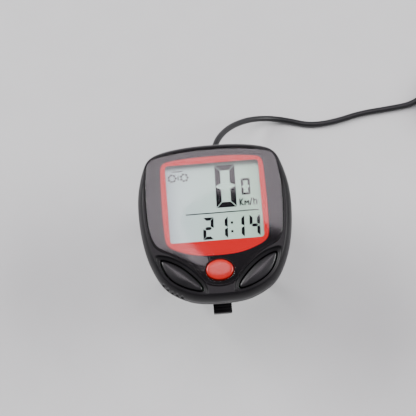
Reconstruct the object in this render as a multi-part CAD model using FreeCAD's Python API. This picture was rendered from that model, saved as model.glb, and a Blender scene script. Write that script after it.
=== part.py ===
"""Wired cycling computer: display head, handlebar bracket and wheel sensor on its lead.

Millimetres. X runs along the handlebar, Y points forwards along the bicycle and Z up, out of
the display. The origin is on the axis of the handlebar that the bracket clamps.
"""
import FreeCAD, Part
import math
import os

V = FreeCAD.Vector
X_AXIS = V(1, 0, 0)
Z_AXIS = V(0, 0, 1)

# ---------------------------------------------------------------- driving dimensions
BAR_R = 12.7            # 25.4 mm handlebar
PAD_T = 1.5             # rubber pad under the bracket
SADDLE_T = 2.0          # wall of the bracket saddle
SADDLE_HALF = 13.0      # half the bracket's length along the bar
SADDLE_FROM = 25.0      # the saddle spans these angles, in degrees from +Y
SADDLE_TO = 155.0
GAP = 0.1               # clearance of a part that only sits in another

DECK_Z = 16.6           # top of the bracket deck
SHOE_Z0 = 18.4          # underside of the shoe's flange
SHOE_Z1 = 20.0
SHOE_Y0 = -12.0
SHOE_Y1 = 4.3
NECK_HALF = 6.0
FLANGE_HALF = 8.4

REAR_Z = 20.2           # outer face of the head's floor
FLOOR_T = 1.5
PARTING_Z = 29.2        # where the two shells meet
DECK_UNDER_Z = 32.0     # underside of the front shell's deck
POCKET_Z = 33.4         # floor of the pocket that holds the lens
FACE_Z = 34.6           # flat top of the front shell
LENS_TOP_Z = 35.0
PRINT_T = 0.1           # ink layers under the lens

RAIL_Z = 17.0           # lowest face of the rails
LIP_T = 1.2
RAIL_Y0 = -22.0
RAIL_Y1 = 5.8

BOARD_Z0 = 28.0
BOARD_T = 0.8
GLASS_Z = 31.2          # where the two display glasses meet, on the contact ledge
GLASS_T = 0.7
WINDOW_HALF = 14.6
WINDOW_Y0 = -6.4
WINDOW_Y1 = 18.6

SCREW_X = 18.4
SCREW_YS = (14.0, -4.0)

BATTERY_Y = 14.0
BATTERY_R = 5.8
BATTERY_Z0 = 22.35
BATTERY_H = 5.4
COVER_R = 7.4
COVER_TURN = 60.0       # degrees from locked to open

KEY_Y = -16.0           # centre key
KEY_A = 4.2
KEY_B = 3.15
KEY_TRAVEL = 0.7
SIDE_KEY = (12.6, -17.6)
SIDE_TRAVEL = 0.6

PIN_X = 4.0
PIN_Y = -3.0
PIN_R = 0.8

LATCH_HALF = 2.9
LATCH_PIVOT = (-8.0, 17.9)
LATCH_END_Y = -26.3

CORD_R = 1.0            # two-core lead
FLOOR_Z = -13.7         # the surface that the ties and the lead lie on
COIL_R = 11.0           # middle of the turns
COIL_WIDE = 6.6         # bundle of three by three turns
COIL_AT = (91.0, 47.0)
COIL_TIE_W = 3.0

# Right half of each plan outline, from the top round to the bottom. The outline is the smooth
# curve that touches the middle of every side of this polygon.
CASE_HALF = [(6.0, 25.1), (15.0, 24.0), (20.2, 22.0), (22.4, 16.5), (23.95, 9.5), (23.95, 1.0),
             (23.0, -6.5), (21.3, -13.0), (17.8, -19.7), (12.6, -23.2), (6.5, -25.3)]
LENS_HALF = [(6.0, 22.8), (14.0, 21.9), (19.9, 20.5), (20.9, 15.5), (21.35, 8.0), (21.1, 0.0),
             (20.4, -5.0), (18.8, -8.2), (14.5, -9.9), (9.8, -13.3), (6.6, -16.8), (4.6, -20.0),
             (1.6, -20.95)]
FRAME_HALF = [(5.0, 20.7), (12.0, 20.2), (16.0, 19.4), (16.2, 14.0), (16.4, 4.0), (16.2, -4.0),
              (15.6, -7.4), (11.0, -9.6), (5.5, -11.1)]
LEAF = [(16.6, -11.5), (18.5, -11.2), (17.4, -15.2), (15.3, -18.2), (12.1, -20.4), (8.4, -21.9),
        (5.2, -22.5), (5.6, -20.3), (8.3, -17.1), (11.2, -14.4), (14.2, -12.5)]

# Route of the lead from the strain relief to the coil, chosen by hand: out of the bracket, down
# to the surface and along it.
LEAD_ROUTE = [(0.5, 18.6, 12.4), (0.5, 26.0, 12.4), (2.2, 33.4, 8.2), (6.4, 39.6, 1.4),
              (12.6, 44.0, -5.2), (19.6, 46.0, -10.6), (27.2, 45.2, -12.7), (34.6, 42.7, -12.7),
              (43.0, 43.2, -12.7), (52.5, 45.6, -12.7), (62.5, 46.4, -12.7), (72.2, 47.6, -12.7),
              (78.2, 52.0, -12.7), (83.0, 57.2, -12.7)]
TAIL_ROUTE = [(92.0, 60.0, -10.6), (101.3, 60.2, -11.4), (108.7, 60.0, -11.4),
              (114.0, 54.7, -10.5), (114.0, 48.8, -10.5)]
SENSOR_AT = (114.0, 40.6)


# ---------------------------------------------------------------- shape helpers
def mirrored(half):
    """Whole polygon from its right half."""
    return half + [(-x, y) for x, y in reversed(half)]


def flipped(points):
    """Polygon on the other side of X = 0, running the same way round."""
    return [(-x, y) for x, y in reversed(points)]


def inset(points, depth):
    """Clockwise polygon with every side moved inwards by depth."""
    sides = []
    count = len(points)
    for i in range(count):
        ax, ay = points[i]
        bx, by = points[(i + 1) % count]
        length = math.hypot(bx - ax, by - ay)
        ux = (bx - ax) / length
        uy = (by - ay) / length
        sides.append((ax + uy * depth, ay - ux * depth, ux, uy))
    moved = []
    for i in range(count):
        px, py, ux, uy = sides[i - 1]
        qx, qy, vx, vy = sides[i]
        cross = ux * vy - uy * vx
        along = ((qx - px) * vy - (qy - py) * vx) / cross
        moved.append((px + ux * along, py + uy * along))
    return moved


def outline(points, z):
    """Closed smooth wire that touches the middle of each side of the polygon."""
    edges = []
    count = len(points)
    for i in range(count):
        before = V(*points[i - 1], z)
        corner = V(*points[i], z)
        after = V(*points[(i + 1) % count], z)
        curve = Part.BezierCurve()
        curve.setPoles([(before + corner) / 2, corner, (corner + after) / 2])
        edges.append(curve.toShape())
    return Part.Wire(edges)


def slab(points, z0, z1):
    """Straight-sided solid on a smooth outline."""
    return Part.Face(outline(points, z0)).extrude(V(0, 0, z1 - z0))


def tapered(points, levels):
    """Solid through insets of one outline, given as (inset, z) pairs."""
    wires = [outline(inset(points, depth), z) for depth, z in levels]
    return Part.makeLoft(wires, True, len(levels) < 4)


def box(x0, x1, y0, y1, z0, z1):
    """Axis-aligned block."""
    return Part.makeBox(x1 - x0, y1 - y0, z1 - z0, V(x0, y0, z0))


def post(x, y, radius, z0, z1):
    """Upright cylinder."""
    return Part.makeCylinder(radius, z1 - z0, V(x, y, z0), Z_AXIS)


def ring(x, y, outer, inner, z0, z1):
    """Upright tube."""
    return post(x, y, outer, z0, z1).cut(post(x, y, inner, z0, z1))


def rod(x0, x1, y, z, radius):
    """Cylinder along X."""
    return Part.makeCylinder(radius, x1 - x0, V(x0, y, z), X_AXIS)


def oval(a, b, z0, z1):
    """Elliptical prism at the centre key."""
    wire = Part.Wire(Part.Ellipse(V(0, KEY_Y, z0), a, b).toShape())
    return Part.Face(wire).extrude(V(0, 0, z1 - z0))


def sector(x, y, outer, inner, z0, z1, start, sweep):
    """Part of an upright tube, from start degrees through sweep degrees."""
    solid = Part.makeCylinder(outer, z1 - z0, V(x, y, z0), Z_AXIS, sweep)
    solid.rotate(V(x, y, z0), Z_AXIS, start)
    return solid.cut(post(x, y, inner, z0, z1))


def rounded_box(x0, x1, y0, y1, z0, z1, radius):
    """Block with its upright edges rounded."""
    solid = box(x0, x1, y0, y1, z0, z1)
    upright = [e for e in solid.Edges if abs(e.tangentAt(e.FirstParameter).z) > 0.9]
    return solid.makeFillet(radius, upright)


def strip(points, thick, x0, x1):
    """Bent metal strip: a path of (y, z) points given thickness and width."""
    legs = []
    for (ya, za), (yb, zb) in zip(points, points[1:]):
        corners = [V(x0, ya, za), V(x0, yb, zb), V(x0, yb, zb + thick), V(x0, ya, za + thick)]
        face = Part.Face(Part.makePolygon(corners + corners[:1]))
        legs.append(face.extrude(V(x1 - x0, 0, 0)))
    return legs[0].fuse(legs[1:]).removeSplitter()


def saddle(outer, inner, half):
    """Part of a tube round the bar, over the angles that the saddle spans."""
    solid = Part.makeCylinder(outer, 2 * half, V(0, 0, -half), Z_AXIS, SADDLE_TO - SADDLE_FROM)
    solid.rotate(V(0, 0, 0), Z_AXIS, SADDLE_FROM)
    solid.rotate(V(0, 0, 0), V(1, 1, 1), 120)
    return solid.cut(rod(-half - 1, half + 1, 0, 0, inner))


def lead(route, radius, name):
    """Round tube along straight runs joined by arcs as large as the runs allow."""
    points = [V(*p) for p in route]
    edges = []
    radii = []
    start = points[0]
    for before, corner, after in zip(points, points[1:], points[2:]):
        back = before - corner
        ahead = after - corner
        reach = 0.45 * min(back.Length, ahead.Length)
        back.normalize()
        ahead.normalize()
        half_turn = (math.pi - back.getAngle(ahead)) / 2
        bend = reach / math.tan(half_turn)
        radii.append(bend)
        enter = corner + back * reach
        leave = corner + ahead * reach
        middle = back + ahead
        middle.normalize()
        through = corner + middle * (bend / math.cos(half_turn) - bend)
        edges.append(Part.LineSegment(start, enter).toShape())
        edges.append(Part.Arc(enter, through, leave).toShape())
        start = leave
    edges.append(Part.LineSegment(start, points[-1]).toShape())
    path = Part.Wire(edges)
    direction = points[1] - points[0]
    section = Part.Wire(Part.Circle(points[0], direction, radius).toShape())
    tube = path.makePipeShell([section], True, False)
    expected = math.pi * radius ** 2 * path.Length
    print(f"{name}: length {path.Length:.1f}, least radius {min(radii):.1f},",
          "radii", " ".join(f"{r:.0f}" for r in radii),
          f"volume {tube.Volume / expected:.4f} of section x length")
    return tube


# ---------------------------------------------------------------- outlines
CASE = mirrored(CASE_HALF)
LENS = mirrored(LENS_HALF)
FRAME = mirrored(FRAME_HALF)
LEAVES = {"right": LEAF, "left": flipped(LEAF)}
BOARD_TOP = BOARD_Z0 + BOARD_T
MOUTH_Z = REAR_Z + FLOOR_T


# ---------------------------------------------------------------- head: shells
def front_case():
    """Upper shell: rim, deck with openings for the display and keys, screw bosses."""
    body = tapered(CASE, [(0.15, PARTING_Z), (0.0, 30.4), (0.2, 31.9), (0.72, 33.5), (1.5, FACE_Z)])
    body = body.cut(slab(inset(CASE, 1.7), PARTING_Z, DECK_UNDER_Z))
    body = body.cut(slab(inset(LENS, -0.15), POCKET_Z, FACE_Z + 1))
    body = body.cut(rounded_box(-15.2, 15.2, -7.0, 19.2, DECK_UNDER_Z - 1, FACE_Z + 1, 1.5))
    body = body.cut(oval(KEY_A + 0.25, KEY_B + 0.25, DECK_UNDER_Z - 1, FACE_Z + 1))
    for leaf in LEAVES.values():
        body = body.cut(slab(leaf, DECK_UNDER_Z - 1, FACE_Z + 1))
        body = body.cut(tapered(leaf, [(0.05, 33.7), (-0.45, FACE_Z + 0.01)]))
    for x in (-SCREW_X, SCREW_X):
        for y in SCREW_YS:
            body = body.fuse(post(x, y, 1.6, BOARD_TOP, DECK_UNDER_Z))
            body = body.cut(post(x, y, 0.75, BOARD_TOP, DECK_UNDER_Z - 0.5))
    body = body.cut(case_gasket())
    return body


def case_gasket():
    """Seal that sits half in each shell."""
    outer = slab(inset(CASE, 0.8), PARTING_Z - 0.4, PARTING_Z + 0.4)
    return outer.cut(slab(inset(CASE, 1.3), PARTING_Z - 0.4, PARTING_Z + 0.4))


def rails():
    """Channel under the head that slides over the bracket's shoe, closed at the front."""
    web_in = FLANGE_HALF + 0.3
    outer = rounded_box(-10.6, 10.6, RAIL_Y0, RAIL_Y1, RAIL_Z, REAR_Z + 0.3, 1.2)
    outer = outer.cut(box(-web_in, web_in, RAIL_Y0, SHOE_Y1 + 0.2, RAIL_Z + LIP_T, REAR_Z))
    lip_in = NECK_HALF + 0.3
    return outer.cut(box(-lip_in, lip_in, RAIL_Y0, SHOE_Y1 + 0.2, RAIL_Z, RAIL_Z + LIP_T))


def rear_case():
    """Lower shell: floor, rails, battery well, screw posts and the notch for the latch."""
    body = tapered(CASE, [(3.0, REAR_Z), (1.7, 21.2), (0.8, 24.0), (0.3, 26.6), (0.15, PARTING_Z)])
    body = body.cut(tapered(CASE, [(3.6, MOUTH_Z), (2.4, 24.0), (1.9, PARTING_Z)]))
    body = body.fuse(rails())
    body = body.fuse(post(0, BATTERY_Y, 8.9, MOUTH_Z, 27.4))
    body = body.cut(post(0, BATTERY_Y, COVER_R + GAP, REAR_Z - 1, 21.5))
    body = body.cut(post(0, BATTERY_Y, 6.85, 21.5, 22.3))
    body = body.cut(post(0, BATTERY_Y, 7.9, 22.3, 23.1))
    body = body.cut(post(0, BATTERY_Y, BATTERY_R + 0.2, 23.1, 28.0))
    for k in range(3):
        body = body.cut(sector(0, BATTERY_Y, 7.9, 6.0, 21.5, 22.3, 27 + 120 * k, 36))
    for x in (-SCREW_X, SCREW_X):
        for y in SCREW_YS:
            body = body.fuse(post(x, y, 1.9, MOUTH_Z - 0.5, BOARD_Z0))
            body = body.cut(post(x, y, 1.5, REAR_Z - 1, 23.2))
            body = body.cut(post(x, y, 0.85, 23.2, BOARD_Z0))
    for x in (-PIN_X, PIN_X):
        body = body.cut(post(x, PIN_Y, 1.6, REAR_Z, MOUTH_Z))
    body = body.cut(box(-3.2, 3.2, -15.2, -13.3, REAR_Z, REAR_Z + 1.0))
    return body.cut(case_gasket())


def case_screws():
    """Four self-tapping screws with cross recesses."""
    screws = []
    for x in (-SCREW_X, SCREW_X):
        for y in SCREW_YS:
            screw = post(x, y, 1.35, 22.2, 23.2).fuse(post(x, y, 0.75, 23.2, DECK_UNDER_Z - 0.5))
            screw = screw.cut(box(x - 0.8, x + 0.8, y - 0.15, y + 0.15, 22.2, 22.7))
            screw = screw.cut(box(x - 0.15, x + 0.15, y - 0.8, y + 0.8, 22.2, 22.7))
            screws.append(screw)
    return Part.makeCompound(screws)


# ---------------------------------------------------------------- head: face
def face_opening(z0, z1):
    """Hole for the centre key in the lens and its prints."""
    return oval(KEY_A + 0.3, KEY_B + 0.3, z0, z1)


def display_window(z0, z1):
    """Clear part of the printed face."""
    return rounded_box(-WINDOW_HALF, WINDOW_HALF, WINDOW_Y0, WINDOW_Y1, z0, z1, 1.0)


def lens():
    """Clear face plate with a softened top edge."""
    body = tapered(LENS, [(0.0, POCKET_Z + PRINT_T), (0.0, LENS_TOP_Z - 0.2), (0.2, LENS_TOP_Z)])
    return body.cut(face_opening(POCKET_Z, LENS_TOP_Z + 1))


def lens_black_print():
    """Black ink on the back of the lens."""
    top = POCKET_Z + PRINT_T
    body = slab(inset(LENS, 0.05), POCKET_Z, top).cut(slab(FRAME, POCKET_Z, top))
    return body.cut(face_opening(POCKET_Z, top))


def lens_red_print():
    """Red ink frame round the clear window."""
    top = POCKET_Z + PRINT_T
    return slab(FRAME, POCKET_Z, top).cut(display_window(POCKET_Z, top))


# ---------------------------------------------------------------- head: display
def display_front_glass():
    return box(-15.9, 15.9, -9.6, 19.7, GLASS_Z, GLASS_Z + GLASS_T)


def display_rear_glass():
    return box(-15.6, 15.6, -7.4, 19.5, GLASS_Z - PRINT_T - GLASS_T, GLASS_Z - PRINT_T)


def display_reflector():
    z1 = GLASS_Z - PRINT_T - GLASS_T
    return box(-15.5, 15.5, -7.3, 19.4, z1 - 0.2, z1)


def segment(x, y, wide, tall, slant, thick, name):
    """One bar of a seven-segment digit whose lower left corner is at x, y."""
    half = tall / 2
    t = thick
    g = 0.06 * t + 0.05
    shapes = {
        "a": [(g, tall), (wide - g, tall), (wide - t - g, tall - t), (t + g, tall - t)],
        "d": [(g, 0), (t + g, t), (wide - t - g, t), (wide - g, 0)],
        "g": [(t * 0.6, half), (t + g, half + t / 2), (wide - t - g, half + t / 2),
              (wide - t * 0.6, half), (wide - t - g, half - t / 2), (t + g, half - t / 2)],
        "f": [(0, tall - g), (t, tall - t - g), (t, half + t / 2 + g), (0, half + g)],
        "e": [(0, half - g), (t, half - t / 2 - g), (t, t + g), (0, g)],
        "b": [(wide, tall - g), (wide, half + g), (wide - t, half + t / 2 + g),
              (wide - t, tall - t - g)],
        "c": [(wide, half - g), (wide, g), (wide - t, t + g), (wide - t, half - t / 2 - g)],
    }
    z = GLASS_Z - PRINT_T
    corners = [V(x + px + slant * py, y + py, z) for px, py in shapes[name]]
    return Part.Face(Part.makePolygon(corners + corners[:1])).extrude(V(0, 0, PRINT_T))


BARS = {"0": "abcdef", "1": "bc", "2": "abged", "4": "fgbc"}


def digit(value, x, y, wide, tall, slant, thick):
    """Lit bars of one digit."""
    return [segment(x, y, wide, tall, slant, thick, bar) for bar in BARS[value]]


def bar_print(x0, x1, y0, y1):
    """Small upright rectangle in the liquid-crystal layer."""
    z = GLASS_Z - PRINT_T
    return box(x0, x1, y0, y1, z, z + PRINT_T)


def wheel_icon():
    """Two dotted rings with a bar between and one above: the wheel-turning sign."""
    z = GLASS_Z - PRINT_T
    marks = []
    for centre in (-12.6, -8.8):
        for k in range(7):
            angle = math.tau * k / 7
            marks.append(post(centre + 1.1 * math.cos(angle), 15.1 + 1.1 * math.sin(angle),
                              0.35, z, z + PRINT_T))
    marks.append(bar_print(-10.85, -10.55, 14.4, 15.8))
    marks.append(bar_print(-12.4, -9.2, 17.1, 17.35))
    return marks


def display_segments():
    """Dark areas of the liquid-crystal layer: speed, clock, divider and signs."""
    marks = digit("0", 0.6, 4.5, 6.3, 13.7, 0.02, 1.7)
    marks += digit("0", 8.7, 8.1, 2.8, 5.3, 0.02, 0.72)
    for value, x in (("2", -4.3), ("1", 0.1), ("1", 5.3), ("4", 10.2)):
        marks += digit(value, x, -5.4, 3.3, 7.0, 0.05, 0.95)
    marks.append(bar_print(4.6, 5.3, -0.9, -0.2))
    marks.append(bar_print(4.5, 5.2, -3.7, -3.0))
    marks.append(bar_print(-9.2, 13.6, 2.85, 3.15))
    marks += unit_sign()
    marks += wheel_icon()
    return Part.makeCompound(marks)


def stroke(x0, y0, x1, y1, thick):
    """One straight stroke of the unit sign."""
    z = GLASS_Z - PRINT_T
    length = math.hypot(x1 - x0, y1 - y0)
    bar = Part.makeBox(length, thick, PRINT_T, V(0, -thick / 2, z))
    bar.rotate(V(0, 0, z), Z_AXIS, math.degrees(math.atan2(y1 - y0, x1 - x0)))
    bar.translate(V(x0, y0, 0))
    return bar


def unit_sign():
    """Kilometres-per-hour sign, drawn from single strokes."""
    base = 4.7
    cap = 2.2
    low = 1.5
    thick = 0.36
    strokes = [
        [(8.0, 0, 8.0, cap), (8.0, low / 2, 8.9, cap), (8.25, low / 1.6, 9.0, 0)],
        [(9.5, 0, 9.5, low), (9.5, low, 10.1, low * 0.5), (10.1, low * 0.5, 10.7, low),
         (10.7, low, 10.7, 0)],
        [(11.1, -0.1, 11.8, cap + 0.1)],
        [(12.3, 0, 12.3, cap), (12.3, low, 13.2, low), (13.2, low, 13.2, 0)],
    ]
    letters = []
    for parts in strokes:
        bars = [stroke(x0, base + y0, x1, base + y1, thick) for x0, y0, x1, y1 in parts]
        letter = bars[0]
        for bar in bars[1:]:
            letter = letter.fuse(bar)
        letters.append(letter)
    return letters


def display_holder():
    """Frame that carries the glasses above the board."""
    body = box(-16.5, 16.5, -10.6, 20.6, BOARD_TOP, GLASS_Z + GLASS_T)
    body = body.common(slab(inset(CASE, 2.0), BOARD_TOP, GLASS_Z + GLASS_T))
    body = body.cut(box(-16.0, 16.0, -9.7, 19.8, GLASS_Z, GLASS_Z + GLASS_T))
    return body.cut(box(-15.7, 15.7, -9.5, 19.6, BOARD_TOP, GLASS_Z))


def zebra_strip():
    """Conductive rubber between the board and the glass's contact ledge."""
    return box(-15.2, 15.2, -9.3, -7.6, BOARD_TOP, GLASS_Z)


# ---------------------------------------------------------------- head: electronics
def circuit_board():
    """Printed board, clamped between the shells' posts."""
    body = slab(inset(CASE, 2.5), BOARD_Z0, BOARD_TOP)
    for x in (-SCREW_X, SCREW_X):
        for y in SCREW_YS:
            body = body.cut(post(x, y, 0.85, BOARD_Z0, BOARD_TOP))
    return body


def processor():
    """Blob of resin over the bonded chip, on the board's underside."""
    dome = Part.makeSphere(6.0, V(0, -11.5, BOARD_Z0 + 4.4))
    return dome.common(box(-7, 7, -20, 0, BOARD_Z0 - 3, BOARD_Z0))


def crystal():
    """Watch crystal can."""
    return rod(-3.0, 3.0, 2.6, BOARD_Z0 - 1.0, 1.0)


def board_components():
    """Small resistors and capacitors on the board's underside."""
    chips = []
    for k in range(4):
        chips.append(box(9.5 + 1.9 * k, 10.7 + 1.9 * k, -11.0, -8.9, BOARD_Z0 - 0.6, BOARD_Z0))
        chips.append(box(-16.4 + 1.9 * k, -15.2 + 1.9 * k, -7.0, -4.9, BOARD_Z0 - 0.6, BOARD_Z0))
    return Part.makeCompound(chips)


def key_places():
    """Centre of each key."""
    return [(0.0, KEY_Y), SIDE_KEY, (-SIDE_KEY[0], SIDE_KEY[1])]


def key_domes():
    """Snap domes on the board, one under each key."""
    domes = []
    for x, y in key_places():
        ball = Part.makeSphere(6.0, V(x, y, BOARD_TOP - 5.6))
        domes.append(ball.common(post(x, y, 2.0, BOARD_TOP, BOARD_TOP + 1)))
    return Part.makeCompound(domes)


def key_rubbers():
    """Silicone plungers between the domes and the keys."""
    rubbers = []
    for x, y in key_places():
        top = 30.3
        cone = Part.makeCone(2.5, 1.7, 1.1, V(x, y, BOARD_TOP), Z_AXIS)
        cone = cone.fuse(post(x, y, 1.7, BOARD_TOP + 1.1, top))
        rubbers.append(cone.cut(post(x, y, 2.1, BOARD_TOP, BOARD_TOP + 0.45)))
    return Part.makeCompound(rubbers)


def battery():
    """Button cell with its insulating ring step."""
    lower = post(0, BATTERY_Y, BATTERY_R, BATTERY_Z0, BATTERY_Z0 + 4.6)
    return lower.fuse(post(0, BATTERY_Y, 5.1, BATTERY_Z0 + 4.6, BATTERY_Z0 + BATTERY_H))


def battery_top_contact():
    """Sprung strip from the board to the cell's upper pole."""
    z = BATTERY_Z0 + BATTERY_H
    return strip([(BATTERY_Y - 3.5, z), (BATTERY_Y + 3.0, z), (BATTERY_Y + 4.2, z + 0.05)],
                 0.2, -1.5, 1.5)


def battery_cover_contact():
    """Sprung disc between the cover and the cell's lower pole."""
    return ring(0, BATTERY_Y, 5.2, 1.2, 21.5, BATTERY_Z0)


def battery_cover():
    """Coin-slotted bayonet cover."""
    body = post(0, BATTERY_Y, COVER_R, 20.25, 21.5)
    body = body.fuse(ring(0, BATTERY_Y, 6.7, 6.05, 21.5, 23.0))
    for k in range(3):
        body = body.fuse(sector(0, BATTERY_Y, 7.7, 6.4, 22.4, 23.0, 90 + 120 * k - 15, 30))
    slot_half = 5.0
    body = body.cut(box(-slot_half, slot_half, BATTERY_Y - 0.75, BATTERY_Y + 0.75, 20, 21.0))
    return body.cut(ring(0, BATTERY_Y, COVER_R + 1, 6.9, 20.7, 21.2))


def battery_cover_seal():
    """Ring seal in the cover's groove."""
    return ring(0, BATTERY_Y, COVER_R + GAP - 0.02, 6.9, 20.7, 21.2)


def rear_contacts():
    """Plated studs in the floor that meet the bracket's sprung pins."""
    studs = []
    for x in (-PIN_X, PIN_X):
        studs.append(post(x, PIN_Y, 1.6, REAR_Z, MOUTH_Z).fuse(
            post(x, PIN_Y, 2.1, MOUTH_Z, MOUTH_Z + 0.5)))
    return Part.makeCompound(studs)


def contact_springs():
    """Bent strips that join the studs to the board."""
    z0 = MOUTH_Z + 0.5
    springs = []
    for x in (-PIN_X, PIN_X):
        path = [(PIN_Y - 1.5, z0), (PIN_Y + 1.5, z0), (PIN_Y - 1.6, z0 + 2.0),
                (PIN_Y + 1.6, z0 + 4.0), (PIN_Y - 1.5, BOARD_Z0 - 0.2),
                (PIN_Y + 1.5, BOARD_Z0 - 0.2)]
        springs.append(strip(path, 0.2, x - 0.9, x + 0.9))
    return Part.makeCompound(springs)


# ---------------------------------------------------------------- keys
def centre_key():
    """Oval domed key with a flange that keeps it under the deck."""
    body = oval(KEY_A + 0.7, KEY_B + 0.7, 31.1, DECK_UNDER_Z - 0.1)
    body = body.fuse(oval(KEY_A, KEY_B, DECK_UNDER_Z - 0.1, LENS_TOP_Z + 0.5))
    body = body.fuse(post(0, KEY_Y, 1.5, 30.3, 31.1))
    dome = Part.makeSphere(16.0, V(0, KEY_Y, LENS_TOP_Z + 0.55 - 16.0))
    return body.common(dome.fuse(box(-9, 9, KEY_Y - 9, KEY_Y + 9, 29, LENS_TOP_Z - 0.6)))


def side_key(leaf):
    """Leaf-shaped key in one corner of the face."""
    x = sum(p[0] for p in leaf) / len(leaf)
    x = math.copysign(SIDE_KEY[0], x)
    y = SIDE_KEY[1]
    body = slab(inset(leaf, -0.45), 31.2, DECK_UNDER_Z - 0.1)
    body = body.common(slab(inset(CASE, 1.95), 31.0, DECK_UNDER_Z))
    cap = tapered(leaf, [(0.3, DECK_UNDER_Z - 0.1), (0.3, 33.8), (0.6, 34.3), (0.95, 34.55)])
    return body.fuse([cap, post(x, y, 1.5, 30.3, 31.3)])


# ---------------------------------------------------------------- bracket
def bracket_base():
    """Saddle on the bar with the deck and the shoe that the head slides onto."""
    outer = BAR_R + PAD_T + SADDLE_T
    inner = BAR_R + PAD_T
    body = saddle(outer, inner, SADDLE_HALF)
    deck = rounded_box(-8.6, 8.6, SHOE_Y0, 10.0, 8.0, DECK_Z, 1.5)
    boss = rounded_box(-3.4, 4.4, 6.0, 17.0, 9.2, 15.8, 1.5)
    block = deck.fuse(boss).cut(rod(-SADDLE_HALF - 1, SADDLE_HALF + 1, 0, 0, inner))
    body = body.fuse(block)
    body = body.fuse(box(-NECK_HALF, NECK_HALF, SHOE_Y0, SHOE_Y1, DECK_Z - 0.5, SHOE_Z0 + 0.2))
    flange = rounded_box(-FLANGE_HALF, FLANGE_HALF, SHOE_Y0, SHOE_Y1, SHOE_Z0, SHOE_Z1, 0.8)
    body = body.fuse(flange)
    slot = LATCH_HALF + 0.25
    body = body.cut(box(-slot, slot, SHOE_Y0 - 5, LATCH_PIVOT[0] + 1.4, 15.3, SHOE_Z1 + 1))
    body = body.cut(rod(-4.7, 4.7, *LATCH_PIVOT, 0.95))
    for x in (-PIN_X, PIN_X):
        body = body.cut(post(x, PIN_Y, PIN_R + 0.05, 18.0, SHOE_Z1))
        body = body.cut(post(x, PIN_Y, 1.3, 14.9, 18.0))
    for side in (-1, 1):
        low, high = sorted((side * 10.0, side * 12.8))
        groove = rod(low, high, 0, 0, outer + 1).cut(rod(low, high, 0, 0, outer - 0.6))
        body = body.cut(groove)
    return body.cut(Part.makeCylinder(1.6, 8.0, V(0.5, 9.1, 12.4), V(0, 1, 0)))


def bracket_pad():
    """Rubber liner between the saddle and the bar."""
    return saddle(BAR_R + PAD_T, BAR_R, SADDLE_HALF)


def release_latch():
    """Sprung tongue whose tooth locks the head; its end is the finger tab."""
    y, z = LATCH_PIVOT
    tongue = rounded_box(-LATCH_HALF, LATCH_HALF, LATCH_END_Y, y + 0.4, 17.2, 18.5, 0.4)
    tab = rounded_box(-LATCH_HALF, LATCH_HALF, LATCH_END_Y, -22.4, 16.7, 18.9, 0.4)
    body = tongue.fuse(tab).fuse(rod(-4.6, 4.6, y, z, 0.9))
    tooth = Part.makePolygon([V(-2.4, -15.0, 18.4), V(-2.4, -15.0, 19.6), V(-2.4, -14.2, 20.9),
                              V(-2.4, -13.5, 20.9), V(-2.4, -13.5, 18.4), V(-2.4, -15.0, 18.4)])
    body = body.fuse(Part.Face(tooth).extrude(V(4.8, 0, 0)))
    for k in range(3):
        body = body.cut(rod(-3, 3, -23.4 - 0.95 * k, 19.05, 0.35))
    return body


def latch_spring():
    """Bent strip under the tongue."""
    y = SHOE_Y0 + 0.4
    return strip([(y, 15.3), (y + 2.6, 15.3), (y + 0.3, 17.0), (y + 1.6, 17.0)], 0.2, -1.6, 1.6)


def contact_pin(x):
    """Sprung plunger in the shoe."""
    body = post(x, PIN_Y, PIN_R, 16.9, SHOE_Z1 + 0.15).fuse(post(x, PIN_Y, 1.2, 16.9, 17.7))
    top = [e for e in body.Edges if e.BoundBox.ZMin > SHOE_Z1]
    return body.makeFillet(0.3, top)


def pin_springs():
    """Folded strips that push the pins up."""
    springs = []
    for x in (-PIN_X, PIN_X):
        path = [(PIN_Y - 0.7, 14.9), (PIN_Y + 0.7, 14.9), (PIN_Y - 0.8, 15.8), (PIN_Y + 0.7, 16.7),
                (PIN_Y - 0.4, 16.7)]
        springs.append(strip(path, 0.15, x - 0.6, x + 0.6))
    return Part.makeCompound(springs)


def strain_relief():
    """Tapered ribbed sleeve where the lead leaves the bracket."""
    body = Part.makeCylinder(1.55, 4.0, V(0.5, 13.0, 12.4), V(0, 1, 0))
    body = body.fuse(Part.makeCone(2.3, 1.35, 3.6, V(0.5, 17.0, 12.4), V(0, 1, 0)))
    return body.cut(Part.makeCylinder(CORD_R, 10.0, V(0.5, 12.0, 12.4), V(0, 1, 0)))


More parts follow.
